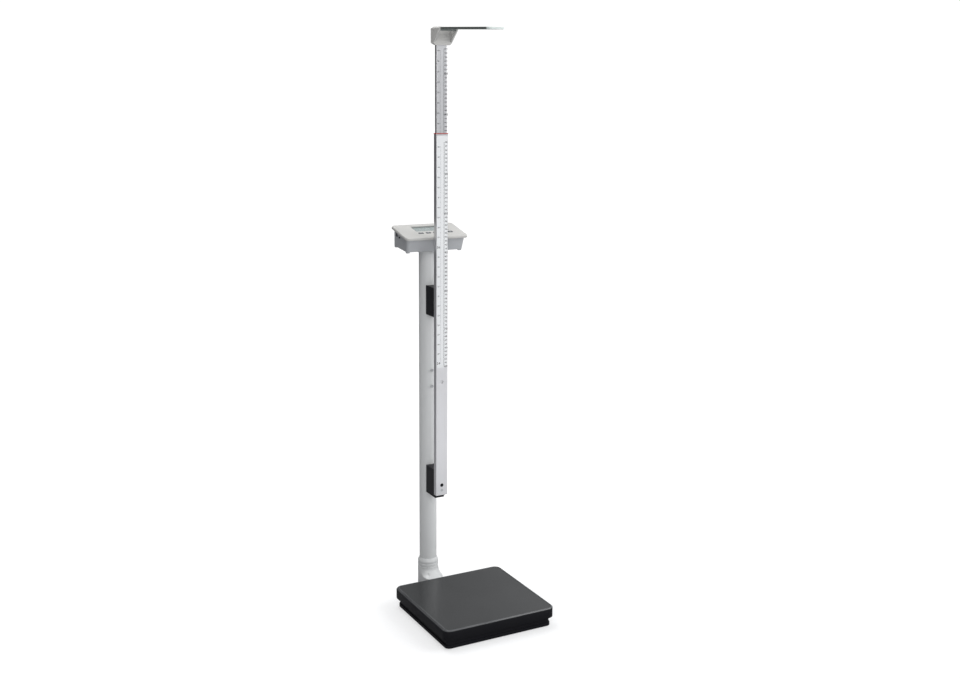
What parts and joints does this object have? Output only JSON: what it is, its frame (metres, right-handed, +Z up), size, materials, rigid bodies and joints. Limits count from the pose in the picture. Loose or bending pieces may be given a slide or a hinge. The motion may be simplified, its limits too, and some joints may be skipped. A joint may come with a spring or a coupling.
{
  "type": "column weighing scale",
  "caption": "Floor scale with a square platform, a rear column carrying a tilted display head, and a telescopic height rod with a folding measuring blade.",
  "frame": {"origin": "centre of the platform's top face, the zero of the height rod", "axes": "+Z up, -Y towards the side that the person steps on from, +X to that person's right when they face the column"},
  "size_m": [0.319, 0.4069, 1.516],
  "materials": {
    "black_textured_plastic": "fine grained, satin",
    "zinc_steel": "zinc plated",
    "rubber_black": "matt",
    "cell_aluminium": "milled",
    "black_powder_coat": "satin powder coat",
    "board_green": "solder resist",
    "grey_paint": "satin paint",
    "black_plastic": "satin moulded",
    "anodised_aluminium": "fine brushed, anodised",
    "index_red": "gloss",
    "white_nylon": "moulded",
    "light_grey_plastic": "fine grained",
    "mid_grey_plastic": "fine grained",
    "blade_grey": "satin",
    "clear_tip": "gloss",
    "window_clear": "clear",
    "lcd_grey_green": "glossy",
    "key_dark": "printed membrane"
  },
  "bodies": {
    "base": {"load_pads": "rubber_black", "load_cells": "cell_aluminium", "load_cell_bolts": "zinc_steel", "base_tray": "black_powder_coat", "rubber_feet": "rubber_black", "junction_board": "board_green", "column_foot": "grey_paint", "foot_bolts": "zinc_steel", "clamp_screw": "zinc_steel", "column_tube": "grey_paint", "spare_screws": "zinc_steel", "column_head": "grey_paint", "head_screws": "zinc_steel", "upper_bracket": "black_plastic", "lower_bracket": "black_plastic", "bracket_screws": "zinc_steel", "outer_rod": "anodised_aluminium", "upper_rod_screw": "zinc_steel", "lower_rod_screw": "black_powder_coat", "rod_bottom_plug": "black_plastic", "plug_rivet": "zinc_steel", "index_collar": "index_red", "indicator_lid": "light_grey_plastic", "indicator_housing": "mid_grey_plastic", "dc_jack": "black_plastic", "data_port": "black_plastic", "display_window": "window_clear", "lcd_panel": "lcd_grey_green", "main_board": "board_green", "key_switches": "black_plastic", "board_screws": "zinc_steel", "housing_screws": "zinc_steel"},
    "platform": {"platform_cover": "black_textured_plastic", "platform_frame": "zinc_steel"},
    "height_rod": {"inner_rod": "anodised_aluminium", "glide_shoe": "white_nylon", "brake_spring": "zinc_steel", "headpiece": "light_grey_plastic", "headpiece_screw": "zinc_steel", "blade_pin": "zinc_steel", "blade_washers": "zinc_steel"},
    "measuring_blade": {"blade": "blade_grey", "blade_tip": "clear_tip"},
    "key_on_off": {"key_on_off": "key_dark"},
    "key_units": {"key_units": "key_dark"},
    "key_hold": {"key_hold": "key_dark"},
    "key_tare": {"key_tare": "key_dark"},
    "key_body_mass": {"key_body_mass": "key_dark"}
  },
  "joints": [
    {"name": "platform_sink", "type": "slide", "parent": "base", "child": "platform", "axis": [0, 0, 1], "range_m": [-0.0008, 0], "stiffness_N_per_m": 60000, "springref_m": 0.001, "deforming": ["load_pads"]},
    {"name": "height_rod_slide", "type": "slide", "parent": "base", "child": "height_rod", "axis": [0, 0, 1], "range_m": [-0.213, 0.541]},
    {"name": "blade_fold", "type": "hinge", "parent": "height_rod", "child": "measuring_blade", "pos_m": [-0.0301, 0.1, 1.455], "axis": [1, 0, 0], "range_deg": [0, 88]},
    {"name": "key_on_off_press", "type": "slide", "parent": "base", "child": "key_on_off", "axis": [0, 0.2334, -0.9724], "range_m": [0, 0.0007], "stiffness_N_per_m": 800, "springref_m": -0.0006},
    {"name": "key_units_press", "type": "slide", "parent": "base", "child": "key_units", "axis": [0, 0.2334, -0.9724], "range_m": [0, 0.0007], "stiffness_N_per_m": 800, "springref_m": -0.0006},
    {"name": "key_hold_press", "type": "slide", "parent": "base", "child": "key_hold", "axis": [0, 0.2334, -0.9724], "range_m": [0, 0.0007], "stiffness_N_per_m": 800, "springref_m": -0.0006},
    {"name": "key_tare_press", "type": "slide", "parent": "base", "child": "key_tare", "axis": [0, 0.2334, -0.9724], "range_m": [0, 0.0007], "stiffness_N_per_m": 800, "springref_m": -0.0006},
    {"name": "key_body_mass_press", "type": "slide", "parent": "base", "child": "key_body_mass", "axis": [0, 0.2334, -0.9724], "range_m": [0, 0.0007], "stiffness_N_per_m": 800, "springref_m": -0.0006}
  ]
}
